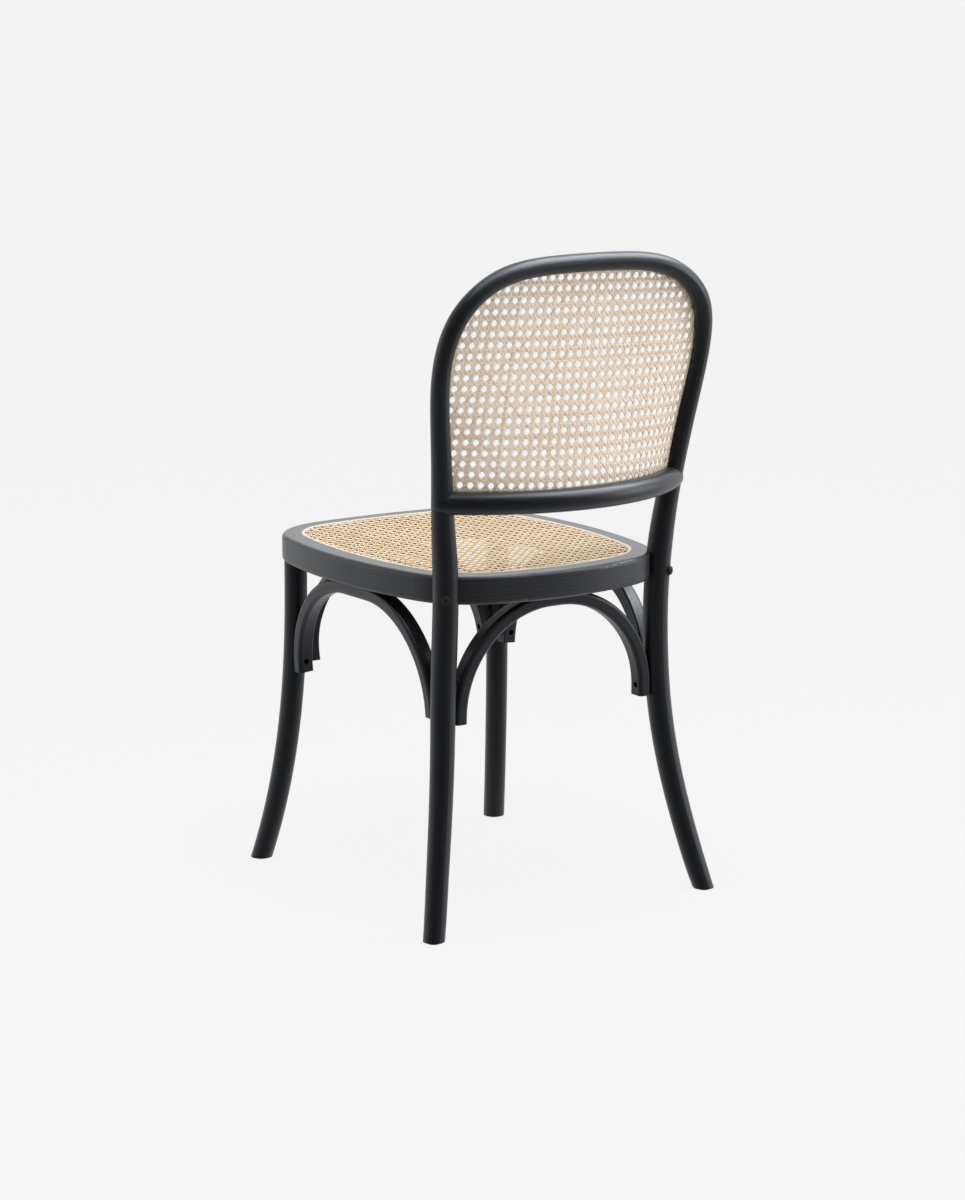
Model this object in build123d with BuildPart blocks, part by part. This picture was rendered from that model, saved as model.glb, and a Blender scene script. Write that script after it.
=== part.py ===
from build123d import *

import os
from math import asin, cos, radians, sin

os.makedirs("parts", exist_ok=True)

# Bentwood dining chair with a caned seat and back.
# Millimetres, +Z up, origin on the floor under the middle, the sitter faces -Y and +X is the left side.

# Heights above the floor
back_height = 894.5
shoulder_height = 732.0
neck_height = 650.0
rail_height = 577.0
seat_height = 475.0
bolt_height = 448.5
waist_height = 336.5

# Back hoop: one bent rod that makes both rear legs, both uprights and the crown
rear_foot_half = 224.3
rear_foot_y = 226.0
rear_splay = 1.7
waist_half = 174.5
waist_y = 175.7
shoulder_half = 207.2
shoulder_y = 218.4
crown_lean = 0.271
crown_bow = -9.5
crown_squareness = 3.14
upright_sweep = ((0.36, 0.015, 0.133), (0.59, 0.329, 0.335), (0.83, 0.724, 0.724))
rear_foot_radius = 14.6
rear_leg_radius = 17.2
neck_radius = 13.1
crown_radius = 12.3
hoop_stations = 31

# Back rail
rail_radius = 15.5
rail_bow = 72.0
rail_middle_y = 264.5
rail_dowel_radius = 5.0
rail_dowel_length = 40.0

# Front legs
front_foot_half = 202.0
front_foot_y = -255.2
front_splay = 2.5
front_top_half = 171.2
front_top_y = -201.7
front_foot_radius = 15.4
front_leg_radius = 15.9
front_leg_stations = 6
tenon_radius = 11.0
tenon_length = 26.0

# Seat frame: a quadrilateral with bowed sides, grown by its corner radius
corner_front_half = 86.5
corner_front_y = -165.0
corner_rear_half = 83.0
corner_rear_y = 103.0
seat_corner_radius = 110.0
seat_side_bow = 15.0
seat_rear_bow = 11.0
seat_front_bow = 5.0
seat_frame_width = 56.0
seat_frame_thickness = 38.0
seat_edge_rounding = 6.0
seat_inner_rounding = 2.0

# Cane sheets and the reeds that hold them in their grooves
cane_thickness = 2.0
seat_cane_pitch = 22.5
seat_cane_gap = 11.0
seat_reed_inset = 27.0
seat_reed_width = 5.0
seat_reed_depth = 8.0
seat_reed_crown = 0.8
seat_reed_rounding = 1.6
back_cane_pitch = 21.0
back_cane_gap = 10.5
back_cane_forward = 6.5
back_cane_bite = 5.0
back_cane_extra_bow = 7.0
back_cane_shoulder_bow = 35.0
back_cane_top_bow = 3.0
back_reed_width = 4.5
back_reed_depth = 4.0
reed_fit = 0.1

# Arched braces between the legs
arch_thickness = 19.0
arch_width = 22.0
arch_rounding = 5.5
arch_inner_rounding = 2.0
arch_cope = 1.5
arch_bed = 1.0
arch_corner_share = 0.95
side_arch_foot, side_arch_inset, side_arch_lean = 284.0, 1.5, 12.0
rear_arch_foot, rear_arch_inset, rear_arch_lean = 276.0, 3.0, 4.0
front_arch_foot, front_arch_inset, front_arch_lean = 292.0, 5.0, 32.0
arch_screw_rise = 15.0

# Bolts that draw the rear legs to the seat frame
bolt_turn = 57.0
bolt_radius = 3.0
bolt_head_radius = 6.0
bolt_head_height = 4.0
bolt_head_rounding = 2.0
bolt_hex_radius = 2.6
bolt_hex_depth = 2.0
bolt_seat_depth = 2.0
washer_radius = 8.0
washer_thickness = 1.5
barrel_radius = 5.0
barrel_length = 16.0
barrel_depth = 17.0

# Countersunk screws of the arches
screw_radius = 2.0
screw_head_radius = 4.0
screw_head_height = 2.4
leg_screw_length = 33.0
seat_screw_length = 38.0
hole_fit = 0.1

# Glides under the feet
glide_radius = 9.0
glide_thickness = 2.5
glide_rounding = 1.2
glide_pin_radius = 1.6
glide_pin_length = 16.0

seat_underside = seat_height - seat_frame_thickness
glide_top = glide_thickness + glide_pin_length
sides = (("left", 1), ("right", -1))


def splayed(foot, top, height, splay, z):
    """Point at the height z of a leg that splays towards its foot."""
    share = ((height - z) / height) ** splay
    return (top[0] + (foot[0] - top[0]) * share, top[1] + (foot[1] - top[1]) * share, z)


def rear_leg(z):
    """Centre of the left rear leg, below the waist."""
    return splayed((rear_foot_half, rear_foot_y), (waist_half, waist_y), waist_height, rear_splay, z)


def front_leg(z):
    """Centre of the left front leg."""
    top = (front_top_half, front_top_y)
    return splayed((front_foot_half, front_foot_y), top, seat_underside, front_splay, z)


def upright(share, out, back, inset=0.0):
    """Centre of the left upright, between waist and shoulder, by the shares of its rise, flare and lean."""
    x = waist_half + (shoulder_half - waist_half) * out
    y = waist_y + (shoulder_y - waist_y) * back
    return (x - inset, y, waist_height + (shoulder_height - waist_height) * share)


def crown(angle, inset=0.0):
    """Centre of the hoop from the left shoulder, at 0 degrees, to the middle of the top, at 90."""
    power = 2 / crown_squareness
    reach = max(cos(radians(angle)), 0.0) ** power
    rise = (back_height - crown_radius - inset - shoulder_height) * sin(radians(angle)) ** power
    y = shoulder_y + crown_lean * rise + crown_bow * (1 - reach ** 2)
    return ((shoulder_half - inset) * reach, y, shoulder_height + rise)


def mirrored(points):
    """The same points on the other side, in reverse order."""
    return [(-x, y, z) for x, y, z in reversed(points)]


def blend(z, stops):
    """Value at the height z on straight lines through (height, value) stops."""
    for (z0, v0), (z1, v1) in zip(stops, stops[1:]):
        if z <= z1:
            return v0 + (v1 - v0) * max(0.0, (z - z0) / (z1 - z0))
    return stops[-1][1]


def station(path, u):
    """Plane square to the path, or level at a foot, with its X axis to the rear so that nothing twists."""
    tangent = path % u
    if u in (0, 1):
        tangent = Vector(0, 0, 1 if tangent.Z > 0 else -1)
    rear = Vector(0, 1, 0) - tangent * tangent.Y
    return Plane(origin=path @ u, x_dir=rear, z_dir=tangent)


# Path of the hoop, from the left rear foot over the crown to the right one, and its taper
crown_angles = (0, 18, 36, 54, 72)
left_half = [rear_leg(z) for z in (glide_thickness, waist_height * 0.35, waist_height * 0.7, waist_height)]
left_half += [upright(*shares) for shares in upright_sweep]
left_half += [crown(angle) for angle in crown_angles]
hoop_path = Spline(*left_half, crown(90), *mirrored(left_half))
hoop_taper = ((glide_thickness, rear_foot_radius), (waist_height, rear_leg_radius),
              (seat_height, rear_leg_radius), (neck_height, neck_radius),
              (shoulder_height, crown_radius), (back_height, crown_radius))


def hoop_at(z):
    """Centre of the left half of the hoop at the height z, below the shoulder."""
    low, high = 0.0, 0.4
    for _ in range(40):
        middle = (low + high) / 2
        if (hoop_path @ middle).Z < z:
            low = middle
        else:
            high = middle
    return hoop_path @ low


def seat_plan(inset):
    """Plan of the seat, drawn in from its outer edge by the inset."""
    front, front_y = corner_front_half, corner_front_y
    rear, rear_y = corner_rear_half, corner_rear_y
    side, side_y = (front + rear) / 2 + seat_side_bow, (front_y + rear_y) / 2
    with BuildSketch() as plan:
        with BuildLine():
            ThreePointArc((-front, front_y), (0, front_y - seat_front_bow), (front, front_y))
            ThreePointArc((front, front_y), (side, side_y), (rear, rear_y))
            ThreePointArc((rear, rear_y), (0, rear_y + seat_rear_bow), (-rear, rear_y))
            ThreePointArc((-rear, rear_y), (-side, side_y), (-front, front_y))
        make_face()
        offset(amount=seat_corner_radius - inset, kind=Kind.ARC)
    return plan.sketch


def back_plan(inset):
    """Front view of the space inside the hoop's centre line and above the rail, drawn in by the inset."""
    half = [upright(*shares, inset) for shares in upright_sweep]
    half += [crown(angle, inset) for angle in crown_angles]
    points = [(x, z) for x, _, z in half + [crown(90, inset)] + mirrored(half)]
    low = rail_height + rail_radius - crown_radius + inset
    with BuildSketch() as plan:
        with BuildLine():
            Spline(*points)
            Line(points[-1], points[0])
        make_face()
        with Locations((0, low)):
            Rectangle(2 * back_height, back_height, align=(Align.CENTER, Align.MIN), mode=Mode.INTERSECT)
    return plan.sketch


def bent_strip(height, middle_y, bow, rear, front):
    """Section at a height of a sheet that bulges to the rear, from its rear face to its front face."""
    chord = shoulder_half
    radius = (chord ** 2 + bow ** 2) / (2 * bow)
    reach = asin(chord / radius)
    rims = []
    for r in (radius + rear, radius - front):
        rims.append([(r * sin(a), middle_y - radius + r * cos(a)) for a in (-reach, 0, reach)])
    outer, inner = rims
    with BuildSketch(Plane.XY.offset(height)) as strip:
        with BuildLine():
            ThreePointArc(*outer)
            Line(outer[2], inner[2])
            ThreePointArc(*inner)
            Line(inner[0], outer[0])
        make_face()
    return strip.sketch


def bent_sheet(rear, front):
    """Sheet between the deeply bowed rail and the crown, from its rear face to its front face."""
    rail_share = shoulder_half / hoop_at(rail_height).X
    low_bow = (rail_bow + back_cane_extra_bow) * rail_share ** 2
    middle_y = shoulder_y - back_cane_forward + back_cane_shoulder_bow
    low = bent_strip(rail_height, rail_middle_y - back_cane_forward, low_bow, rear, front)
    middle = bent_strip(shoulder_height, middle_y, back_cane_shoulder_bow, rear, front)
    high = bent_strip(back_height, crown(90)[1] - back_cane_forward, back_cane_top_bow, rear, front)
    loft(sections=[low, middle, high])


def grid_inside(plan, pitch):
    """Centres of a square grid whose cells lie wholly inside a plan."""
    box = plan.bounding_box()
    columns = int(box.size.X / pitch / 2)
    rows = int(box.size.Y / pitch / 2)
    middle = box.center()
    spots = []
    for column in range(-columns, columns + 1):
        for row in range(-rows, rows + 1):
            spot = (middle.X + column * pitch, middle.Y + row * pitch)
            if plan.face().is_inside(Vector(*spot)):
                spots.append(spot)
    return spots


def cylinder(plane, radius, low, high, mode=Mode.ADD):
    """Round bar along a plane's normal, between two distances from it."""
    with BuildSketch(plane.offset(low)) as disc:
        Circle(radius)
    extrude(disc.sketch, amount=high - low, mode=mode)


def countersunk(plane, length, fit, mode=Mode.ADD):
    """Screw, or with a fit its hole, that goes down from a plane's origin against its normal."""
    cylinder(plane, screw_radius + fit, -length - fit, -screw_head_height, mode)
    with BuildSketch(plane) as top:
        Circle(screw_head_radius + fit)
    with BuildSketch(plane.offset(-screw_head_height)) as neck:
        Circle(screw_radius + fit)
    loft(sections=[neck.sketch, top.sketch], mode=mode)


# Blank of the hoop, before its rabbet and holes: the other pieces are coped onto it
with BuildPart() as hoop_blank:
    for number in range(hoop_stations):
        plane = station(hoop_path, number / (hoop_stations - 1))
        with BuildSketch(plane):
            Circle(blend(plane.origin.Z, hoop_taper))
    loft()

# Rabbet in hoop and rail that takes the edge of the back's cane and its reed, open to the front
cane_edge = crown_radius - back_cane_bite
rabbet_front = cane_thickness / 2 + back_reed_depth + rail_radius
with BuildPart() as rabbet:
    bent_sheet(cane_thickness / 2 + reed_fit, rabbet_front)
    with BuildSketch(Plane.XZ.offset(-2 * rear_foot_y)):
        add(back_plan(cane_edge - reed_fit))
    extrude(amount=3 * rear_foot_y, mode=Mode.INTERSECT)

# Axes of the two bolts, from the seat's rear corners outwards through the rear legs
bolt_centre = hoop_at(bolt_height)
bolt_planes = []
for _, side in sides:
    outward = Vector(side * cos(radians(bolt_turn)), sin(radians(bolt_turn)), 0)
    bolt_planes.append(Plane(origin=(side * bolt_centre.X, bolt_centre.Y, bolt_height), z_dir=outward))
bolt_face = rear_leg_radius - bolt_seat_depth
barrel_place = -rear_leg_radius - barrel_depth

# Axes of the dowels at the rail's ends
rail_end = hoop_at(rail_height)
rail_turn = asin(rail_end.X / ((rail_end.X ** 2 + rail_bow ** 2) / (2 * rail_bow)))
dowel_planes = []
for _, side in sides:
    heading = Vector(side * cos(rail_turn), -sin(rail_turn), 0)
    end = (side * rail_end.X, rail_middle_y - rail_bow, rail_height)
    dowel_planes.append(Plane(origin=end, z_dir=heading))
dowel_low = -rail_radius - rail_dowel_length / 2
dowel_high = dowel_low + rail_dowel_length


def arch_plane(middle, foot, along, lean):
    """Plane of an arch through the middle of its feet, leaning outwards to meet the seat frame."""
    outward = Vector(0, 0, 1).cross(along)
    up = outward * lean + Vector(0, 0, seat_underside - foot)
    return Plane(origin=(*middle, foot), x_dir=along, z_dir=along.cross(up))


# Where the four arches stand, each drawn anticlockwise round the seat: plane, and half span between the legs
rear_at = Vector(*rear_leg(rear_arch_foot + arch_screw_rise))
front_at = Vector(*front_leg(front_arch_foot + arch_screw_rise))
rear_half_span = rear_at.X - rear_leg_radius
front_half_span = front_at.X - front_leg_radius
side_half_span = (rear_at.Y - rear_leg_radius - front_at.Y - front_leg_radius) / 2
side_middle_y = (rear_at.Y - rear_leg_radius + front_at.Y + front_leg_radius) / 2
side_x = (rear_at.X + front_at.X) / 2 - side_arch_inset
rear_middle = (0, rear_at.Y - rear_arch_inset)
front_middle = (0, front_at.Y + front_arch_inset)
rear_plane = arch_plane(rear_middle, rear_arch_foot, Vector(1, 0, 0), rear_arch_lean)
front_plane = arch_plane(front_middle, front_arch_foot, Vector(-1, 0, 0), front_arch_lean)
arches = {"rear_arch": (rear_plane, rear_half_span), "front_arch": (front_plane, front_half_span)}
for name, side in sides:
    plane = arch_plane((side * side_x, side_middle_y), side_arch_foot, Vector(0, -side, 0), side_arch_lean)
    arches["side_arch_" + name] = (plane, side_half_span)


def foot_screw_planes(plane, half_span):
    """Planes of the two screws at an arch's feet, on its inner face and facing its middle."""
    inner = half_span + arch_cope - arch_thickness
    spots = []
    for end in (-1, 1):
        origin = plane.origin + plane.x_dir * (end * inner) + plane.y_dir * arch_screw_rise
        spots.append(Plane(origin=origin, z_dir=plane.x_dir * -end))
    return spots


def apex_screw_plane(plane):
    """Plane of the screw that goes up from the middle of an arch's underside into the seat frame."""
    up = (seat_underside - plane.origin.Z + arch_bed) / plane.y_dir.Z
    spot = plane.origin + plane.y_dir * (up - arch_thickness)
    return Plane(origin=spot, z_dir=plane.y_dir * -1)


leg_screws_at = [spot for plane, half_span in arches.values() for spot in foot_screw_planes(plane, half_span)]
seat_screws_at = [apex_screw_plane(plane) for plane, _ in arches.values()]
rear_glides_at = [Plane((side * rear_leg(0)[0], rear_leg(0)[1], 0)) for _, side in sides]
front_glides_at = [Plane((side * front_leg(0)[0], front_leg(0)[1], 0)) for _, side in sides]

# Back hoop, with its rabbet and its holes for bolts, dowels, screws and glide pins
with BuildPart() as back_hoop:
    add(hoop_blank.part)
    add(rabbet.part, mode=Mode.SUBTRACT)
    for plane in bolt_planes:
        cylinder(plane, bolt_radius + hole_fit, -2 * rear_leg_radius, 2 * rear_leg_radius, Mode.SUBTRACT)
        cylinder(plane, washer_radius + hole_fit, bolt_face, 2 * rear_leg_radius, Mode.SUBTRACT)
    for plane in dowel_planes:
        cylinder(plane, rail_dowel_radius + hole_fit, dowel_low, dowel_high + hole_fit, Mode.SUBTRACT)
    for plane in foot_screw_planes(*arches["rear_arch"]):
        countersunk(plane, leg_screw_length, hole_fit, Mode.SUBTRACT)
    for end, (name, _) in enumerate(sides):
        plane = foot_screw_planes(*arches["side_arch_" + name])[end]
        countersunk(plane, leg_screw_length, hole_fit, Mode.SUBTRACT)
    for plane in rear_glides_at:
        cylinder(plane, glide_pin_radius + hole_fit, 0, glide_top + hole_fit, Mode.SUBTRACT)
back_hoop.part.label = "back_hoop"
export_step(back_hoop.part, "parts/back_hoop.step")

# Back rail: a round bar bowed to the rear, coped onto the uprights
with BuildPart() as back_rail:
    with BuildLine() as rail_line:
        ThreePointArc((-rail_end.X, rail_middle_y - rail_bow, rail_height), (0, rail_middle_y, rail_height),
                      (rail_end.X, rail_middle_y - rail_bow, rail_height))
    with BuildSketch(Plane(origin=rail_line.line @ 0, z_dir=rail_line.line % 0)):
        Circle(rail_radius)
    sweep()
    with Locations(*[plane.origin for plane in dowel_planes]):
        Sphere(rail_radius)
    add(hoop_blank.part, mode=Mode.SUBTRACT)
    add(rabbet.part, mode=Mode.SUBTRACT)
    for plane in dowel_planes:
        cylinder(plane, rail_dowel_radius + hole_fit, dowel_low - hole_fit, dowel_high, Mode.SUBTRACT)
back_rail.part.label = "back_rail"
export_step(back_rail.part, "parts/back_rail.step")

# Dowels that tie the rail to the uprights
with BuildPart() as rail_dowels:
    for plane in dowel_planes:
        cylinder(plane, rail_dowel_radius, dowel_low, dowel_high)
rail_dowels.part.label = "rail_dowels"
export_step(rail_dowels.part, "parts/rail_dowels.step")

# Back cane: a bent sheet with open cells
with BuildPart() as back_cane:
    bent_sheet(cane_thickness / 2, cane_thickness / 2)
    with BuildSketch(Plane.XZ.offset(-2 * rear_foot_y)):
        add(back_plan(cane_edge))
        with Locations(*grid_inside(back_plan(crown_radius + back_cane_gap), back_cane_pitch)):
            Rectangle(back_cane_gap, back_cane_gap, mode=Mode.SUBTRACT)
    extrude(amount=3 * rear_foot_y, mode=Mode.INTERSECT)
back_cane.part.label = "back_cane"
export_step(back_cane.part, "parts/back_cane.step")

# Back reed: the strip in front of the cane's edge, in the rabbet
with BuildPart() as back_reed:
    bent_sheet(-cane_thickness / 2 - reed_fit, cane_thickness / 2 + back_reed_depth)
    with BuildSketch(Plane.XZ.offset(-2 * rear_foot_y)):
        add(back_plan(cane_edge))
        add(back_plan(cane_edge + back_reed_width), mode=Mode.SUBTRACT)
    extrude(amount=3 * rear_foot_y, mode=Mode.INTERSECT)
back_reed.part.label = "back_reed"
export_step(back_reed.part, "parts/back_reed.step")

# Seat frame: a bent ring with a groove for the reed, a step for the cane, and copes for the rear legs
with BuildPart() as seat_frame:
    with BuildSketch(Plane.XY.offset(seat_underside)):
        add(seat_plan(0))
        add(seat_plan(seat_frame_width), mode=Mode.SUBTRACT)
    extrude(amount=seat_frame_thickness)
    ends = [seat_frame.faces().sort_by(Axis.Z)[0], seat_frame.faces().sort_by(Axis.Z)[-1]]
    outer_edges = [edge for end in ends for edge in end.outer_wire().edges()]
    inner_edges = [edge for end in ends for wire in end.inner_wires() for edge in wire.edges()]
    fillet(outer_edges, seat_edge_rounding)
    fillet(inner_edges, seat_inner_rounding)
    with BuildSketch(Plane.XY.offset(seat_height)):
        add(seat_plan(seat_reed_inset))
    extrude(amount=-cane_thickness, mode=Mode.SUBTRACT)
    with BuildSketch(Plane.XY.offset(seat_height)):
        add(seat_plan(seat_reed_inset))
        add(seat_plan(seat_reed_inset + seat_reed_width), mode=Mode.SUBTRACT)
    extrude(amount=-seat_reed_depth, mode=Mode.SUBTRACT)
    add(hoop_blank.part, mode=Mode.SUBTRACT)
    for plane in bolt_planes:
        cylinder(plane, bolt_radius + hole_fit, barrel_place - 2 * barrel_radius, 0, Mode.SUBTRACT)
        barrel = plane.origin + plane.z_dir * barrel_place
        with BuildSketch(Plane((barrel.X, barrel.Y, seat_underside))):
            Circle(barrel_radius + hole_fit)
        extrude(amount=bolt_height + barrel_length / 2 - seat_underside, mode=Mode.SUBTRACT)
    with BuildSketch(Plane.XY.offset(seat_underside)):
        with Locations(*[(side * front_top_half, front_top_y) for _, side in sides]):
            Circle(tenon_radius + hole_fit)
    extrude(amount=tenon_length + hole_fit, mode=Mode.SUBTRACT)
    for plane in seat_screws_at:
        countersunk(plane, seat_screw_length, hole_fit, Mode.SUBTRACT)
seat_frame.part.label = "seat_frame"
export_step(seat_frame.part, "parts/seat_frame.step")

# Seat cane: a flat sheet with open cells, on the step inside the reed
seat_cane_edge = seat_reed_inset + seat_reed_width + reed_fit
with BuildPart() as seat_cane:
    with BuildSketch(Plane.XY.offset(seat_height - cane_thickness)):
        add(seat_plan(seat_cane_edge))
        with Locations(*grid_inside(seat_plan(seat_cane_edge + seat_cane_gap), seat_cane_pitch)):
            Rectangle(seat_cane_gap, seat_cane_gap, mode=Mode.SUBTRACT)
    extrude(amount=cane_thickness)
seat_cane.part.label = "seat_cane"
export_step(seat_cane.part, "parts/seat_cane.step")

# Seat reed: the pale strip driven into the groove round the cane
with BuildPart() as seat_reed:
    with BuildSketch(Plane.XY.offset(seat_height - seat_reed_depth)):
        add(seat_plan(seat_reed_inset + reed_fit))
        add(seat_plan(seat_reed_inset + seat_reed_width - reed_fit), mode=Mode.SUBTRACT)
    extrude(amount=seat_reed_depth + seat_reed_crown)
    fillet(seat_reed.faces().sort_by(Axis.Z)[-1].edges(), seat_reed_rounding)
seat_reed.part.label = "seat_reed"
export_step(seat_reed.part, "parts/seat_reed.step")

# Front legs: round, splayed like the rear ones, with a tenon into the seat frame
front_legs = {}
for end, (name, side) in enumerate(sides):
    with BuildPart() as leg:
        stops = ((glide_thickness, front_foot_radius), (seat_underside, front_leg_radius))
        heights = [glide_thickness + (seat_underside - glide_thickness) * n / (front_leg_stations - 1)
                   for n in range(front_leg_stations)]
        for z in heights:
            x, y, _ = front_leg(z)
            with BuildSketch(Plane((side * x, y, z))):
                Circle(blend(z, stops))
        loft()
        front_legs[name] = leg.part
        with BuildSketch(Plane((side * front_top_half, front_top_y, seat_underside))):
            Circle(tenon_radius)
        extrude(amount=tenon_length)
        side_screw = foot_screw_planes(*arches["side_arch_" + name])[1 - end]
        front_screw = foot_screw_planes(*arches["front_arch"])[end]
        for plane in (side_screw, front_screw):
            countersunk(plane, leg_screw_length, hole_fit, Mode.SUBTRACT)
        cylinder(front_glides_at[end], glide_pin_radius + hole_fit, 0, glide_top + hole_fit, Mode.SUBTRACT)
    leg.part.label = "front_leg_" + name
    export_step(leg.part, f"parts/front_leg_{name}.step")

# Arched braces: bent bars with a rounded outer side, coped onto the legs and bedded under the seat frame
for name, (plane, half_span) in arches.items():
    half = half_span + arch_cope - arch_thickness / 2
    up = (seat_underside - plane.origin.Z + arch_bed) / plane.y_dir.Z - arch_thickness / 2
    bend = arch_corner_share * min(half, up)
    with BuildPart() as arch:
        with BuildLine(plane) as line:
            Line((-half, 0), (-half, up - bend))
            CenterArc((bend - half, up - bend), bend, 90, 90)
            Line((bend - half, up), (half - bend, up))
            CenterArc((half - bend, up - bend), bend, 0, 90)
            Line((half, up - bend), (half, 0))
        with BuildSketch(Plane(origin=line.line @ 0, x_dir=plane.x_dir, z_dir=line.line % 0)) as section:
            Rectangle(arch_thickness, arch_width)
            fillet(section.vertices().group_by(Axis.Y)[-1], arch_rounding)
            fillet(section.vertices().group_by(Axis.Y)[0], arch_inner_rounding)
        sweep()
        split(bisect_by=Plane.XY.offset(seat_underside), keep=Keep.BOTTOM)
        add(hoop_blank.part, mode=Mode.SUBTRACT)
        for leg in front_legs.values():
            add(leg, mode=Mode.SUBTRACT)
        for spot in foot_screw_planes(plane, half_span) + [apex_screw_plane(plane)]:
            countersunk(spot, seat_screw_length, hole_fit, Mode.SUBTRACT)
    arch.part.label = name
    export_step(arch.part, f"parts/{name}.step")

# Bolts with domed heads and a hexagonal recess, their washers and the barrel nuts inside the seat frame
with BuildPart() as rear_leg_bolts:
    for plane in bolt_planes:
        under = bolt_face + washer_thickness
        cylinder(plane, bolt_radius, barrel_place - barrel_radius, under)
        cylinder(plane, bolt_head_radius, under, under + bolt_head_height)
        rim = rear_leg_bolts.faces().sort_by_distance(plane.origin + plane.z_dir * 2 * rear_leg_radius)[0]
        fillet(rim.edges(), bolt_head_rounding)
        with BuildSketch(plane.offset(under + bolt_head_height)):
            RegularPolygon(bolt_hex_radius, 6)
        extrude(amount=-bolt_hex_depth, mode=Mode.SUBTRACT)
rear_leg_bolts.part.label = "rear_leg_bolts"
export_step(rear_leg_bolts.part, "parts/rear_leg_bolts.step")

with BuildPart() as bolt_washers:
    for plane in bolt_planes:
        with BuildSketch(plane.offset(bolt_face)):
            Circle(washer_radius)
            Circle(bolt_radius + hole_fit, mode=Mode.SUBTRACT)
        extrude(amount=washer_thickness)
bolt_washers.part.label = "bolt_washers"
export_step(bolt_washers.part, "parts/bolt_washers.step")

with BuildPart() as barrel_nuts:
    for plane in bolt_planes:
        barrel = plane.origin + plane.z_dir * barrel_place
        low = bolt_height - barrel_length / 2
        cylinder(Plane((barrel.X, barrel.Y, 0)), barrel_radius, low, low + barrel_length)
    for plane in bolt_planes:
        cylinder(plane, bolt_radius, barrel_place - 2 * barrel_radius, 0, Mode.SUBTRACT)
barrel_nuts.part.label = "barrel_nuts"
export_step(barrel_nuts.part, "parts/barrel_nuts.step")

# Screws of the arches
with BuildPart() as arch_leg_screws:
    for plane in leg_screws_at:
        countersunk(plane, leg_screw_length, 0)
arch_leg_screws.part.label = "arch_leg_screws"
export_step(arch_leg_screws.part, "parts/arch_leg_screws.step")

with BuildPart() as arch_seat_screws:
    for plane in seat_screws_at:
        countersunk(plane, seat_screw_length, 0)
arch_seat_screws.part.label = "arch_seat_screws"
export_step(arch_seat_screws.part, "parts/arch_seat_screws.step")

# Glides: nailed discs under the four feet
for end, spots in (("rear", rear_glides_at), ("front", front_glides_at)):
    for (name, _), plane in zip(sides, spots):
        with BuildPart() as glide:
            cylinder(plane, glide_radius, 0, glide_thickness)
            fillet(glide.edges().sort_by(Axis.Z)[0], glide_rounding)
            cylinder(plane, glide_pin_radius, glide_thickness, glide_top)
        glide.part.label = f"glide_{end}_{name}"
        export_step(glide.part, f"parts/glide_{end}_{name}.step")
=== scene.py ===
import math

import bpy
import numpy as np
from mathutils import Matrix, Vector, geometry


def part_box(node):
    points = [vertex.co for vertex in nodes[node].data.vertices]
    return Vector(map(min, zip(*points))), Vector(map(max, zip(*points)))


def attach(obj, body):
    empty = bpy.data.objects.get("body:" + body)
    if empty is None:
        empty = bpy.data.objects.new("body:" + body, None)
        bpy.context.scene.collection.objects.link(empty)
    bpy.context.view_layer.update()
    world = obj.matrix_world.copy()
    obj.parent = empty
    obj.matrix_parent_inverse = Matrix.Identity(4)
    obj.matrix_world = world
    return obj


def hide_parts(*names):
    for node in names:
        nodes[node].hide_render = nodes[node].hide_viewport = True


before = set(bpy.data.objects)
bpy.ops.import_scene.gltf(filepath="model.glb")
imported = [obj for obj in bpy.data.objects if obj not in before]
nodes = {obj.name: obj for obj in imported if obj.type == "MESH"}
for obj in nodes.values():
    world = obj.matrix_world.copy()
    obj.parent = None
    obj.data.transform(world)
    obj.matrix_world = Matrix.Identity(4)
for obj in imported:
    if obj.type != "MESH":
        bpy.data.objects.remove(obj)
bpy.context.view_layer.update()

# Camera: where it looks, and from which side. Metres and degrees.
CAMERA_AIM = Vector((-0.005, 0.0035, 0.3957))
CAMERA_AZIMUTH = 145.68
CAMERA_ELEVATION = 11.48
CAMERA_DISTANCE = 4.621
CAMERA_LENS_MM = 100.5

# Runs of the grain: how far a leg's foot stands out from its top, as (across, back), in metres, where the hoop's parts
# begin, as shares of its height, and how square the bends are, from a circle at 2 upwards
HOOP_SPLAY = (0.052, 0.051)
FRONT_LEG_SPLAY = (0.031, -0.055)
WAIST_SHARE = 0.42
SHOULDER_SHARE = 0.84
CROWN_INSET = 0.03
CROWN_SQUARENESS = 2.75
RING_SQUARENESS = 3.4
ARCH_SQUARENESS = 2.2
CIRCLE = 2.0

# Black wood: tones in its pores and between them, tint of its lacquer, and how much lighter some pieces are
WOOD_DARK = (0.0036, 0.0036, 0.0038)
WOOD_PALE = (0.0066, 0.0066, 0.0068)
WOOD_SHEEN = (0.80, 0.88, 1.0, 1.0)
WOOD_STOPS = (0.15, 0.75)
RING_LIGHT = 3.6
ARCH_LIGHT = 1.3

# Grain of the black wood: scales per metre, and the shares of grain and cloud in the tone
GROWTH_SCALE = 2100.0
GROWTH_SKEW = 0.6
GROWTH_DRIFT = 14.0
DRIFT_SCALE = 30.0
DRIFT_STRETCH = 0.2
PORES_ACROSS = 1500.0
PORES_ALONG = 70.0
CLOUD_SCALE = 9.0
GRAIN_SHARE = 0.55
CLOUD_SHARE = 0.45

# Lacquer of the black wood: roughness and what grain and cloud add to it, and gloss head on, its growth and its limit
LACQUER_ROUGHNESS = 0.30
GRAIN_ROUGHNESS = 0.16
CLOUD_ROUGHNESS = 0.10
GRAIN_BUMP = 0.22
GRAIN_DEPTH = 0.0004
GLOSS_HEAD_ON = 0.09
GLOSS_GROWTH = 0.85
GLOSS_LIMIT = 0.65

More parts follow.
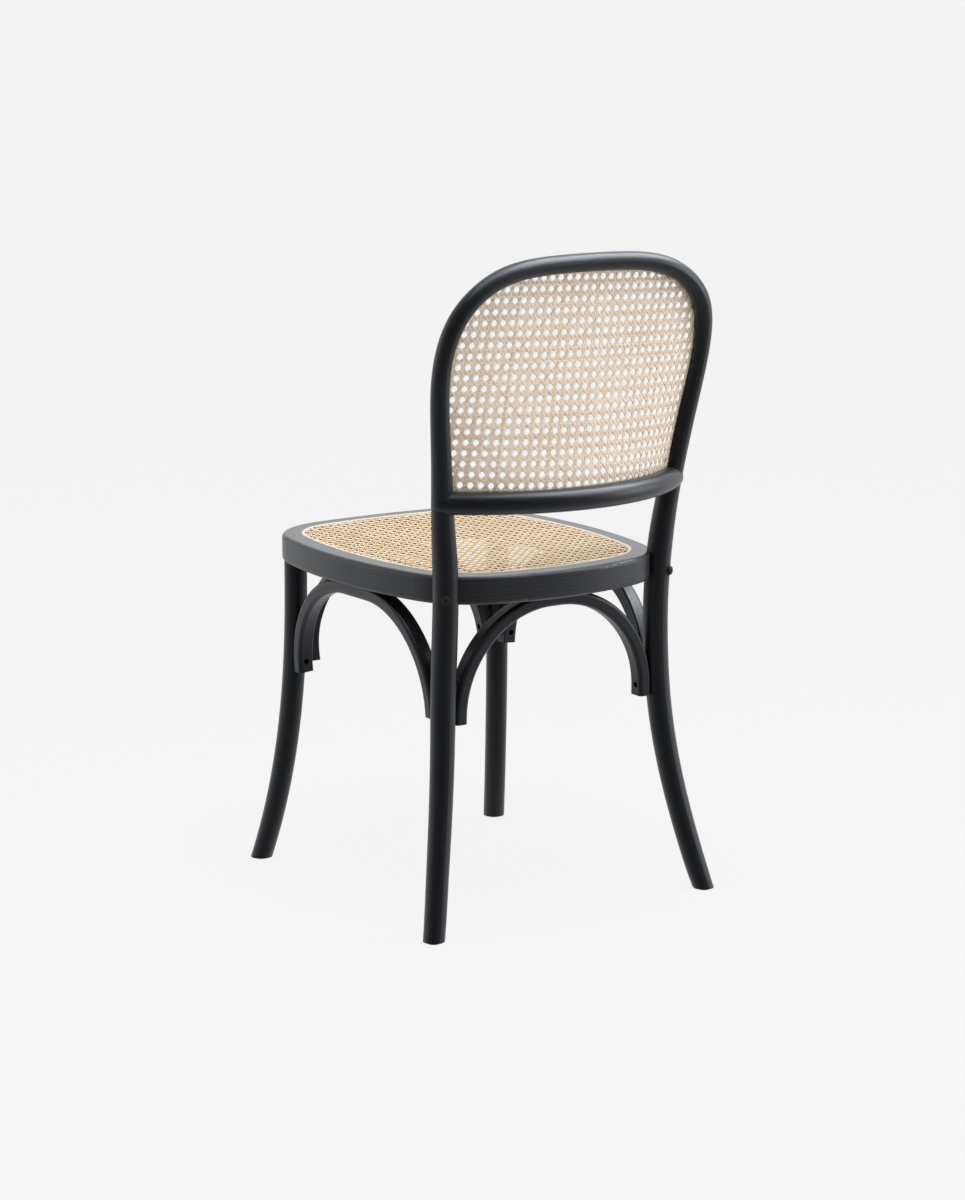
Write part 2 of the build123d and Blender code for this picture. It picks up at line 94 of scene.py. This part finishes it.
# Screw holes in the arches' feet, which the solids leave under a thin skin, have their mouths painted as dark discs
# without gloss: painted shade of the hole over the black screw head in it; each has its mirror image in X. Metres.
SCREW_MOUTH_RADIUS = 0.004
REAR_MOUTHS = ((0.1415, 0.1747, 0.2910),)
FRONT_MOUTHS = ((0.1393, -0.2025, 0.3066),)
SIDE_MOUTHS = ((0.1741, 0.1427, 0.2990), (0.1741, -0.1709, 0.2990))

# Weave of the cane: paired strands across and along, and single strands on both diagonals. Metres.
CELL = 0.0137
STRAND_WIDTH = 0.0027
STRAND_THICKNESS = 0.0007
DIAGONAL_WIDTH = 0.0024
PAIR_HALF_GAP = 0.00139
PAIR_SHARE = PAIR_HALF_GAP / CELL
PAIR_LIFT = 0.00045
DIAGONAL_LIFT = 0.0009
SAMPLES_PER_CELL = 6
WEAVE_REACH = 0.5
TONE_SEED = 7

# Outline of a strand's section, from edge to edge, as shares of its half width and half thickness
STRAND_SECTION = ((-1.0, 0.0), (-0.62, 0.9), (0.62, 0.9), (1.0, 0.0), (0.62, -0.9), (-0.62, -0.9))

# Lattice of each sheet: its first cell, then the step to the next column and to the next row, as (across, up)
BACK_CELL = (0.0671, 0.7238)
BACK_COLUMN = (-0.013444, -0.00045)
BACK_ROW = (0.00183, -0.01407)
SEAT_CELL = (0.0, -0.030)
SEAT_COLUMN = (0.0135, 0.0)
SEAT_ROW = (0.0, 0.0135)

# Sheets: dip of the seat's, and half width and numbers of steps of the table that unrolls the back's. Metres.
SEAT_DIP = 0.0015
UNROLL_HALF_WIDTH = 0.215
UNROLL_WIDTHS = 431
UNROLL_HEIGHTS = 25
NORMAL_STEP = 0.0005

# Tones of the cane, fibres to skin: one cane in two copies, the seat's with painted shade, darker and yellower
BACK_CANE = ((0.38, 0.24, 0.115), (0.85, 0.70, 0.55), (0.96, 0.86, 0.755))
SEAT_CANE = ((0.40, 0.25, 0.115), (0.86, 0.665, 0.44), (0.94, 0.795, 0.595))
CANE_STOPS = (0.25, 0.5, 0.8)

# Cane: scales of fibres and blotches along and around a strand, and their shares in the tone with the strand's own
FIBRES_ALONG = 210.0
FIBRES_AROUND = 22.0
FIBRES_APART = 40.0
BLOTCHES_ALONG = 26.0
FIBRE_SHARE = 0.70
BLOTCH_SHARE = 0.20
OWN_SHARE = 0.34
CANE_LIFT = 0.12
CANE_EDGE_PITH_AND_SHADE = 0.66
CANE_ROUGHNESS = 0.38

# Pale reed: tones from flecks to skin, and scales of its fibres per metre
REED_TONES = ((0.60, 0.50, 0.385), (0.77, 0.695, 0.575), (0.86, 0.80, 0.70))
REED_STOPS = (0.2, 0.5, 0.8)
REED_ACROSS = 2600.0
REED_ALONG = 60.0
REED_ROUGHNESS = 0.42

# Cane and reed: gloss, and depth of the fibres in metres
FIBRE_GLOSS = 0.15
FIBRE_DEPTH = 0.0002

# Paper-white studio
BACKGROUND = 0.913
FLOOR_GLOW = 0.917
FLOOR_SHARE = 0.95
FLOOR_PAPER = 0.86
FLOOR_HALF = 90.0
SKY_LIGHT = 0.50

# Soft lamps: name, place, height that it aims at above the origin, width and height, watts, and whether it only shows
# in gloss
LAMPS = (
    ("overhead", (0.3, 0.5, 2.9), 0.5, (1.6, 1.6), 52.0, False),
    ("right", (-2.5, 1.7, 1.1), 0.5, (1.6, 1.8), 34.0, False),
    ("left", (2.5, -1.7, 1.1), 0.5, (1.6, 1.8), 9.0, False),
    ("sheen", (-1.2, 0.8, 2.6), 0.6, (2.2, 1.8), 165.0, True),
    ("behind", (-1.8, -2.7, 1.9), 0.5, (3.0, 1.5), 14.0, True),
)


def rgba(grey):
    return (grey, grey, grey, 1.0)


class Graph:
    """Node tree of one material or world, with short calls for the nodes used here."""

    def __init__(self, owner):
        owner.use_nodes = True
        self.owner = owner
        self.tree = owner.node_tree
        self.tree.nodes.clear()

    def node(self, kind, inputs=(), **settings):
        """Adds a node, sets its properties, and sets or links its inputs by name or number."""
        node = self.tree.nodes.new(kind)
        for name, value in settings.items():
            setattr(node, name, value)
        for name, value in dict(inputs).items():
            if isinstance(value, bpy.types.NodeSocket):
                self.tree.links.new(value, node.inputs[name])
            else:
                node.inputs[name].default_value = value
        return node

    def math(self, operation, *values):
        """One Math node; each value is a number or a socket."""
        return self.node("ShaderNodeMath", dict(enumerate(values)), operation=operation).outputs[0]

    def times(self, value, factor):
        return self.math("MULTIPLY", value, factor)

    def vector(self, x, y, z):
        return self.node("ShaderNodeCombineXYZ", {"X": x, "Y": y, "Z": z}).outputs[0]

    def position(self):
        """The three coordinates of the shaded point in the object's frame."""
        place = self.node("ShaderNodeTexCoord").outputs["Object"]
        return self.node("ShaderNodeSeparateXYZ", {0: place}).outputs[:]

    def noise(self, vector, scale, detail, roughness=0.55):
        inputs = {"Vector": vector, "Scale": scale, "Detail": detail, "Roughness": roughness}
        return self.node("ShaderNodeTexNoise", inputs).outputs["Fac"]

    def ramp(self, value, *stops):
        """Colour ramp through (place, colour) stops."""
        node = self.node("ShaderNodeValToRGB", {"Fac": value})
        elements = node.color_ramp.elements
        while len(elements) < len(stops):
            elements.new(0.5)
        for element, (place, colour) in zip(elements, stops):
            element.position = place
            element.color = (*colour, 1.0)
        return node.outputs["Color"]

    def bump(self, height, strength, distance, invert=False):
        inputs = {"Strength": strength, "Distance": distance, "Height": height}
        return self.node("ShaderNodeBump", inputs, invert=invert).outputs[0]

    def surface(self, shader):
        self.node("ShaderNodeOutputMaterial", {"Surface": shader.outputs[0]})
        return self.owner


def new_material(name):
    return Graph(bpy.data.materials.new(name))


# Grain runs: each gives a point's place along a wooden piece and its two places across it

def bent_run(graph, axes, centre, half, squareness):
    """Grain that follows a bend: a rounded loop round a centre, in the plane of two axes."""
    place = graph.position()
    shares = []
    for axis, middle, size in zip(axes, centre, half):
        off = graph.math("ABSOLUTE", graph.math("SUBTRACT", place[axis], middle))
        shares.append(graph.math("DIVIDE", off, size))
    size = sum(half) / 2
    powers = [graph.math("POWER", share, squareness) for share in shares]
    reach = graph.math("POWER", graph.math("ADD", *powers), 1 / squareness)
    along = graph.times(graph.math("ARCTAN2", shares[1], shares[0]), size)
    return along, graph.times(reach, size), place[3 - sum(axes)]


def leg_run(graph, splay, height):
    """Grain that follows a leg which splays towards its foot."""
    x, y, z = graph.position()
    drop = graph.math("DIVIDE", graph.math("SUBTRACT", height, z), height)
    share = graph.math("POWER", graph.math("MAXIMUM", drop, 0.0), 2.0)
    across = graph.math("SUBTRACT", graph.math("ABSOLUTE", x), graph.times(share, splay[0]))
    depth = graph.math("SUBTRACT", y, graph.times(share, splay[1]))
    return z, across, depth


def outside_painted_holes(graph, mouths):
    """For each mouth of a screw hole, 0 inside it, where painted shade goes, and 1 elsewhere."""
    x, y, z = graph.position()
    place = graph.vector(graph.math("ABSOLUTE", x), y, z)
    outside = []
    for mouth in mouths:
        gap = graph.node("ShaderNodeVectorMath", {0: place, 1: mouth}, operation="DISTANCE").outputs["Value"]
        outside.append(graph.math("GREATER_THAN", gap, SCREW_MOUTH_RADIUS))
    return outside


def black_wood(name, run, light=1.0, mouths=()):
    """Black-stained wood under a satin lacquer, with open grain along the piece's run; light lifts its tone."""
    graph = new_material(name)
    along, across, depth = run(graph)
    drift = graph.noise(graph.vector(across, depth, graph.times(along, DRIFT_STRETCH)), DRIFT_SCALE, 2.0)
    # Growth rings lie askew to the section, so round pieces show them as long pointed loops
    skew = graph.math("ADD", across, graph.times(depth, GROWTH_SKEW))
    growth = graph.math("ADD", graph.times(skew, GROWTH_SCALE), graph.times(drift, GROWTH_DRIFT))
    rings = graph.math("MULTIPLY_ADD", graph.math("SINE", growth), 0.5, 0.5)
    pore_place = graph.vector(
        graph.times(across, PORES_ACROSS), graph.times(depth, PORES_ACROSS), graph.times(along, PORES_ALONG))
    pores = graph.noise(pore_place, 1.0, 2.0, 0.6)
    open_grain = graph.times(graph.math("POWER", rings, 2.0), pores)
    cloud = graph.noise(graph.vector(across, depth, along), CLOUD_SCALE, 3.0)
    tone = graph.math("ADD", graph.times(open_grain, GRAIN_SHARE), graph.times(cloud, CLOUD_SHARE))
    tones = [tuple(light * share for share in colour) for colour in (WOOD_DARK, WOOD_PALE)]
    colour = graph.ramp(tone, *zip(WOOD_STOPS, tones))
    base = graph.math("MULTIPLY_ADD", cloud, CLOUD_ROUGHNESS, LACQUER_ROUGHNESS)
    roughness = graph.math("MULTIPLY_ADD", open_grain, GRAIN_ROUGHNESS, base)
    # Satin lacquer: little gloss where the surface is met head on, more where it turns away
    turned = graph.node("ShaderNodeLayerWeight", {"Blend": 0.5}).outputs["Facing"]
    gloss = graph.math("MINIMUM", graph.math("MULTIPLY_ADD", turned, GLOSS_GROWTH, GLOSS_HEAD_ON), GLOSS_LIMIT)
    # Painted shade: colour and gloss go to nothing in each screw hole's mouth, for its dark recess and black screw
    # head
    for outside in outside_painted_holes(graph, mouths):
        scaled = graph.node("ShaderNodeVectorMath", {0: colour, "Scale": outside}, operation="SCALE")
        colour = scaled.outputs["Vector"]
        gloss = graph.times(gloss, outside)
    shader = graph.node("ShaderNodeBsdfPrincipled", {
        "Base Color": colour, "Roughness": roughness,
        "Normal": graph.bump(open_grain, GRAIN_BUMP, GRAIN_DEPTH, invert=True),
        "Specular IOR Level": gloss, "Specular Tint": WOOD_SHEEN})
    return graph.surface(shader)


def strand_cane(name, tones):
    """Split cane: pale skin with long fibres, each strand in its own tone."""
    graph = new_material(name)
    uv = graph.node("ShaderNodeUVMap", uv_map="strand").outputs[0]
    along, around, _ = graph.node("ShaderNodeSeparateXYZ", {0: uv}).outputs[:]
    own = graph.node("ShaderNodeAttribute", attribute_name="strand_tone").outputs["Fac"]
    fibre_place = graph.vector(
        graph.times(along, FIBRES_ALONG), graph.times(around, FIBRES_AROUND), graph.times(own, FIBRES_APART))
    fibres = graph.noise(fibre_place, 1.0, 3.0, 0.65)
    blotch = graph.noise(graph.vector(graph.times(along, BLOTCHES_ALONG), own, 0.5), 1.0, 2.0)
    mix = graph.math("ADD", graph.times(fibres, FIBRE_SHARE), graph.times(blotch, BLOTCH_SHARE))
    mix = graph.math("ADD", mix, graph.times(own, OWN_SHARE))
    # The edges are darker: partly the tan pith under the pale skin, partly painted shade between neighbouring strands
    edge = graph.math("POWER", graph.math("COSINE", graph.times(around, math.tau)), 2.0)
    tone = graph.math("SUBTRACT", graph.math("ADD", mix, CANE_LIFT), graph.times(edge, CANE_EDGE_PITH_AND_SHADE))
    shader = graph.node("ShaderNodeBsdfPrincipled", {
        "Base Color": graph.ramp(tone, *zip(CANE_STOPS, tones)),
        "Roughness": graph.math("MULTIPLY_ADD", fibres, 0.25, CANE_ROUGHNESS),
        "Normal": graph.bump(fibres, 0.35, FIBRE_DEPTH), "Specular IOR Level": FIBRE_GLOSS})
    return graph.surface(shader)


def pale_reed(name, run):
    """Pale round reed, with fibres along it and small darker flecks."""
    graph = new_material(name)
    along, across, depth = run(graph)
    fibre_place = graph.vector(
        graph.times(across, REED_ACROSS), graph.times(depth, REED_ACROSS), graph.times(along, REED_ALONG))
    fibres = graph.noise(fibre_place, 1.0, 3.0, 0.6)
    shader = graph.node("ShaderNodeBsdfPrincipled", {
        "Base Color": graph.ramp(fibres, *zip(REED_STOPS, REED_TONES)),
        "Roughness": graph.math("MULTIPLY_ADD", fibres, 0.2, REED_ROUGHNESS),
        "Normal": graph.bump(fibres, 0.25, FIBRE_DEPTH), "Specular IOR Level": FIBRE_GLOSS})
    return graph.surface(shader)


def fine_finish(name, dark, light, rough, metallic, grain, gloss):
    """Small hardware: an even colour with fine specks in tone and roughness."""
    graph = new_material(name)
    specks = graph.noise(graph.vector(*graph.position()), grain, 4.0, 0.7)
    shader = graph.node("ShaderNodeBsdfPrincipled", {
        "Base Color": graph.ramp(specks, (0.3, dark), (0.7, light)),
        "Roughness": graph.math("MULTIPLY_ADD", specks, 0.2, rough), "Metallic": metallic,
        "Normal": graph.bump(specks, 0.15, 0.0001), "Specular IOR Level": gloss})
    return graph.surface(shader)


def middle_and_half(node):
    low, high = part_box(node)
    return (low + high) / 2, (high - low) / 2


# Runs of the wooden pieces' grain, from the boxes of the pieces themselves
hoop_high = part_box("back_hoop")[1]
leg_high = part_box("front_leg_left")[1]
ring_middle, ring_half = middle_and_half("seat_frame")
rail_low, rail_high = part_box("back_rail")
rail_bow = rail_high.y - rail_low.y - (rail_high.z - rail_low.z)
rail_bend = (rail_high.x ** 2 + rail_bow ** 2) / (2 * rail_bow)
rail_centre_y = rail_high.y - rail_bend


def hoop_run(graph):
    """Grain of the hoop: up the legs, then round the crown."""
    shoulder = SHOULDER_SHARE * hoop_high.z
    z, across, depth = leg_run(graph, HOOP_SPLAY, WAIST_SHARE * hoop_high.z)
    place = graph.position()
    above = graph.math("MAXIMUM", graph.math("SUBTRACT", place[2], shoulder), 0.0)
    half = hoop_high.x - CROWN_INSET
    up = graph.math("DIVIDE", above, hoop_high.z - shoulder)
    out = graph.math("DIVIDE", graph.math("ABSOLUTE", place[0]), half)
    reach = graph.math("ADD", graph.math("POWER", out, CROWN_SQUARENESS), graph.math("POWER", up, CROWN_SQUARENESS))
    round_across = graph.times(graph.math("POWER", reach, 1 / CROWN_SQUARENESS), half)
    is_crown = graph.math("GREATER_THAN", above, 0.0)
    is_leg = graph.math("SUBTRACT", 1.0, is_crown)
    along = graph.math("ADD", graph.math("MINIMUM", z, shoulder), graph.times(graph.math("ARCTAN2", up, out), half))
    return along, graph.math("ADD", graph.times(across, is_leg), graph.times(round_across, is_crown)), depth


def rail_run(graph):
    return bent_run(graph, (0, 1), (0.0, rail_centre_y), (rail_bend, rail_bend), CIRCLE)


def ring_run(graph):
    return bent_run(graph, (0, 1), ring_middle.xy, ring_half.xy, RING_SQUARENESS)


def front_leg_run(graph):
    return leg_run(graph, FRONT_LEG_SPLAY, leg_high.z)


def arch_wood(name, node, axis, mouths):
    """Wood of an arch that spans one axis; its grain goes round the foot of the arch's middle."""
    middle, half = middle_and_half(node)
    centre = (middle[axis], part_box(node)[0].z)

    def run(graph):
        return bent_run(graph, (axis, 2), centre, (half[axis], 2 * half.z), ARCH_SQUARENESS)

    return black_wood(name, run, ARCH_LIGHT, mouths)


side_arch = arch_wood("wood_side_arch", "side_arch_left", 1, SIDE_MOUTHS)
front_leg = black_wood("wood_front_leg", front_leg_run)
dark_steel = fine_finish("steel_black", (0.006, 0.006, 0.006), (0.012, 0.012, 0.012), 0.34, 0.0, 900.0, 0.15)
black_screw = fine_finish("screw_black", (0.002, 0.002, 0.002), (0.004, 0.004, 0.004), 0.7, 0.0, 900.0, 0.03)
zinc = fine_finish("steel_zinc", (0.42, 0.42, 0.42), (0.58, 0.58, 0.57), 0.3, 1.0, 700.0, 0.5)
glide = fine_finish("glide_plastic", (0.014, 0.014, 0.014), (0.024, 0.024, 0.024), 0.5, 0.0, 1200.0, 0.2)

finishes = {
    "back_hoop": black_wood("wood_hoop", hoop_run),
    "back_rail": black_wood("wood_rail", rail_run),
    "seat_frame": black_wood("wood_ring", ring_run, RING_LIGHT),
    "rear_arch": arch_wood("wood_rear_arch", "rear_arch", 0, REAR_MOUTHS),
    "front_arch": arch_wood("wood_front_arch", "front_arch", 0, FRONT_MOUTHS),
    "side_arch_left": side_arch, "side_arch_right": side_arch,
    "front_leg_left": front_leg, "front_leg_right": front_leg,
    "seat_reed": pale_reed("reed_seat", ring_run),
    "back_reed": pale_reed("reed_back", hoop_run),
    "rail_dowels": pale_reed("dowel_wood", rail_run),
    "rear_leg_bolts": dark_steel, "bolt_washers": dark_steel, "arch_leg_screws": black_screw,
    "barrel_nuts": zinc, "arch_seat_screws": zinc,
    "glide_rear_left": glide, "glide_rear_right": glide, "glide_front_left": glide, "glide_front_right": glide,
}
for name, material in finishes.items():
    nodes[name].data.materials.clear()
    nodes[name].data.materials.append(material)


def node_points(name):
    return np.array([vertex.co for vertex in nodes[name].data.vertices])


def outline(points):
    """Convex outline of flat points, in order."""
    return points[geometry.convex_hull_2d([Vector(point) for point in points])]


def inside(polygon, points):
    """Which points lie inside a convex outline that goes round anticlockwise."""
    start, end = polygon, np.roll(polygon, -1, axis=0)
    edge = end - start
    off = points[:, None, :] - start[None]
    return (edge[None, :, 0] * off[:, :, 1] - edge[None, :, 1] * off[:, :, 0] >= 0).all(axis=1)


class BackSheet:
    """Middle surface of the back's cane: depth over width and height, fitted to the CAD sheet's own points."""

    def __init__(self):
        points = node_points("back_cane")
        self.coefficients = np.linalg.lstsq(self.terms(points[:, 0], points[:, 2]), points[:, 1], rcond=None)[0]
        # Distance along the sheet from the middle, at each height: strands lie evenly along it, not across
        self.heights = np.linspace(points[:, 2].min(), points[:, 2].max(), UNROLL_HEIGHTS)
        self.widths = np.linspace(-UNROLL_HALF_WIDTH, UNROLL_HALF_WIDTH, UNROLL_WIDTHS)
        width, height = np.meshgrid(self.widths, self.heights)
        depth = (self.terms(width.ravel(), height.ravel()) @ self.coefficients).reshape(width.shape)
        steps = np.hypot(np.diff(width, axis=1), np.diff(depth, axis=1))
        self.arcs = np.hstack([np.zeros((len(self.heights), 1)), np.cumsum(steps, axis=1)])
        self.arcs -= self.arcs[:, [len(self.widths) // 2]]
        self.polygon = outline(points[:, [0, 2]])

    @staticmethod
    def terms(x, z):
        """Powers of width and height; the sheet is the same on both sides, so width has even powers only."""
        even = [x ** power for power in (0, 2, 4, 6)]
        return np.stack([term * z ** power for term in even for power in (0, 1, 2, 3)], axis=1)

    def flat(self, across, up):
        """Width and height of points given by distance along the sheet and height."""
        at = np.interp(up, self.heights, np.arange(len(self.heights)))
        low = np.clip(at.astype(int), 0, len(self.heights) - 2)
        share = at - low
        table = np.array([np.interp(across, row, self.widths) for row in self.arcs])
        index = np.arange(len(across))
        return np.stack([table[low, index] * (1 - share) + table[low + 1, index] * share, up], axis=1)

    def solid(self, flat):
        depth = self.terms(flat[:, 0], flat[:, 1]) @ self.coefficients
        return np.stack([flat[:, 0], depth, flat[:, 1]], axis=1)

    def normals(self, flat):
        right = self.solid(flat + (NORMAL_STEP, 0)) - self.solid(flat - (NORMAL_STEP, 0))
        up = self.solid(flat + (0, NORMAL_STEP)) - self.solid(flat - (0, NORMAL_STEP))
        normal = np.cross(up, right)
        return normal / np.linalg.norm(normal, axis=1, keepdims=True)


class SeatSheet:
    """Middle surface of the seat's cane: level, with a slight dip in the middle."""

    def __init__(self):
        points = node_points("seat_cane")
        low, high = points.min(axis=0), points.max(axis=0)
        self.middle, self.half = (low + high) / 2, (high - low) / 2
        self.polygon = outline(points[:, :2])

    def flat(self, across, up):
        return np.stack([across, up], axis=1)

    def solid(self, flat):
        share = ((flat - self.middle[:2]) / self.half[:2]) ** 2
        dip = SEAT_DIP * np.clip(1 - share[:, 0], 0, 1) * np.clip(1 - share[:, 1], 0, 1)
        return np.column_stack([flat, self.middle[2] - dip])

    def normals(self, flat):
        return np.tile((0.0, 0.0, 1.0), (len(flat), 1))


def crossing(distance):
    """Rise and fall of a strand of a pair where it meets the other pair: down before the middle, up after it."""
    near = (distance - np.round(distance)) * CELL / PAIR_HALF_GAP
    return near * np.exp((1 - near ** 2) / 2)


def strand_paths(first, last):
    """Every strand of the weave, as (columns, rows, lift, width) along it; cells' middles are at whole numbers."""
    steps = np.linspace(first, last, (last - first) * SAMPLES_PER_CELL + 1)
    lift = PAIR_LIFT * crossing(steps - 0.5)
    for pair in (-1, 1):
        for n in range(first, last):
            yield np.full_like(steps, n + 0.5 + pair * PAIR_SHARE), steps, pair * lift, STRAND_WIDTH
        for n in range(first, last):
            yield steps, np.full_like(steps, n + 0.5 + pair * PAIR_SHARE), -pair * lift, STRAND_WIDTH
    for slope in (-1, 1):
        wave = slope * DIAGONAL_LIFT * np.cos(math.tau * steps)
        for n in range(first - last, 2 * (last - first)):
            yield steps, slope * steps + n + 0.5, wave, DIAGONAL_WIDTH


def weave(name, sheet, cell, column, row):
    """Woven cane over a sheet: one ribbon for each strand, from edge to edge of the sheet's outline."""
    reach = int(WEAVE_REACH / CELL)
    random = np.random.default_rng(TONE_SEED)
    section = np.array(STRAND_SECTION)
    ring = len(section)
    corner = np.arange(ring)
    points, faces, places, tones = [], [], [], []
    count = 0
    for i, j, lift, width in strand_paths(-reach, reach):
        across = cell[0] + column[0] * i + row[0] * j
        up = cell[1] + column[1] * i + row[1] * j
        flat = sheet.flat(across, up)
        kept = inside(sheet.polygon, flat)
        if kept.sum() < 3:
            continue
        flat, lift = flat[kept], lift[kept]
        normal = sheet.normals(flat)
        line = sheet.solid(flat) + normal * lift[:, None]
        side = np.cross(normal, np.gradient(line, axis=0))
        side /= np.linalg.norm(side, axis=1, keepdims=True)
        wide = side[:, None] * (section[None, :, :1] * width / 2)
        thick = normal[:, None] * (section[None, :, 1:] * STRAND_THICKNESS / 2)
        points.append((line[:, None] + wide + thick).reshape(-1, 3))
        steps = len(line)
        start = np.arange(steps - 1)[:, None] * ring
        a, b = start + corner, start + (corner + 1) % ring
        faces.append(np.stack([a, b, b + ring, a + ring], axis=2).reshape(-1, 4) + count)
        length = np.concatenate([[0], np.cumsum(np.linalg.norm(np.diff(line, axis=0), axis=1))])
        places.append(np.column_stack([np.repeat(length, ring), np.tile(corner / ring, steps)]))
        tones.append(np.full(steps * ring, random.random()))
        count += steps * ring
    points, faces = np.concatenate(points), np.concatenate(faces)
    places, tones = np.concatenate(places), np.concatenate(tones)
    mesh = bpy.data.meshes.new(name)
    mesh.from_pydata(points, [], faces)
    mesh.polygons.foreach_set("use_smooth", np.ones(len(faces), bool))
    layer = mesh.uv_layers.new(name="strand")
    layer.data.foreach_set("uv", places[faces.ravel()].ravel())
    own = mesh.attributes.new("strand_tone", "FLOAT", "POINT")
    own.data.foreach_set("value", tones)
    return new_object(name, mesh)


def new_object(name, data):
    piece = bpy.data.objects.new(name, data)
    bpy.context.scene.collection.objects.link(piece)
    return piece


for name, node, sheet, lattice, tones in (
        ("back_weave", "back_cane", BackSheet(), (BACK_CELL, BACK_COLUMN, BACK_ROW), BACK_CANE),
        ("seat_weave", "seat_cane", SeatSheet(), (SEAT_CELL, SEAT_COLUMN, SEAT_ROW), SEAT_CANE)):
    piece = weave(name, sheet, *lattice)
    piece.data.materials.append(strand_cane(name, tones))
    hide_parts(node)
    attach(piece, "root")


# Studio: a pale floor under a pale surround

def seen_directly(graph):
    """1 for rays from the camera and for those in reflections and glass, 0 for the rest."""
    ray = graph.node("ShaderNodeLightPath").outputs
    seen = graph.math("MAXIMUM", ray["Is Camera Ray"], ray["Is Glossy Ray"])
    return graph.math("MAXIMUM", seen, ray["Is Transmission Ray"])


def pale_floor():
    graph = new_material("floor_paper")
    paper = graph.node("ShaderNodeBsdfDiffuse", {"Color": rgba(FLOOR_PAPER)})
    glow = graph.node("ShaderNodeEmission", {"Color": rgba(FLOOR_GLOW), "Strength": 1.0})
    share = graph.times(seen_directly(graph), FLOOR_SHARE)
    return graph.surface(graph.node("ShaderNodeMixShader", {0: share, 1: paper.outputs[0], 2: glow.outputs[0]}))


def square(name, half):
    """Level square on the ground."""
    mesh = bpy.data.meshes.new(name)
    mesh.from_pydata([(-half, -half, 0), (half, -half, 0), (half, half, 0), (-half, half, 0)], [], [(0, 1, 2, 3)])
    return new_object(name, mesh)


floor = square("floor", FLOOR_HALF)
floor.data.materials.append(pale_floor())


def soft_light(name, place, aim_height, size, watts, gloss_only):
    """Large soft lamp; one that is only for gloss shows in the lacquer and lights nothing else."""
    data = bpy.data.lights.new(name, "AREA")
    data.shape, data.size, data.size_y = "RECTANGLE", *size
    data.energy = watts
    lamp = new_object(name, data)
    lamp.location = place
    lamp.rotation_euler = (Vector((0.0, 0.0, aim_height)) - Vector(place)).to_track_quat("-Z", "Y").to_euler()
    lamp.visible_camera = False
    lamp.visible_diffuse = not gloss_only


for lamp in LAMPS:
    soft_light(*lamp)

world = bpy.data.worlds.new("studio")
bpy.context.scene.world = world
sky = Graph(world)
dim = sky.node("ShaderNodeBackground", {"Color": rgba(1.0), "Strength": SKY_LIGHT})
bright = sky.node("ShaderNodeBackground", {"Color": rgba(BACKGROUND), "Strength": 1.0})
mixed = sky.node("ShaderNodeMixShader", {0: seen_directly(sky), 1: dim.outputs[0], 2: bright.outputs[0]})
sky.node("ShaderNodeOutputWorld", {"Surface": mixed.outputs[0]})

camera_data = bpy.data.cameras.new("camera")
camera_data.lens = CAMERA_LENS_MM
camera = new_object("camera", camera_data)
turn, tilt = math.radians(CAMERA_AZIMUTH), math.radians(CAMERA_ELEVATION)
back = Vector((math.sin(turn) * math.cos(tilt), -math.cos(turn) * math.cos(tilt), math.sin(tilt)))
camera.location = CAMERA_AIM + back * CAMERA_DISTANCE
camera.rotation_euler = (-back).to_track_quat("-Z", "Y").to_euler()
bpy.context.scene.camera = camera

bpy.context.scene.view_settings.view_transform = "Standard"
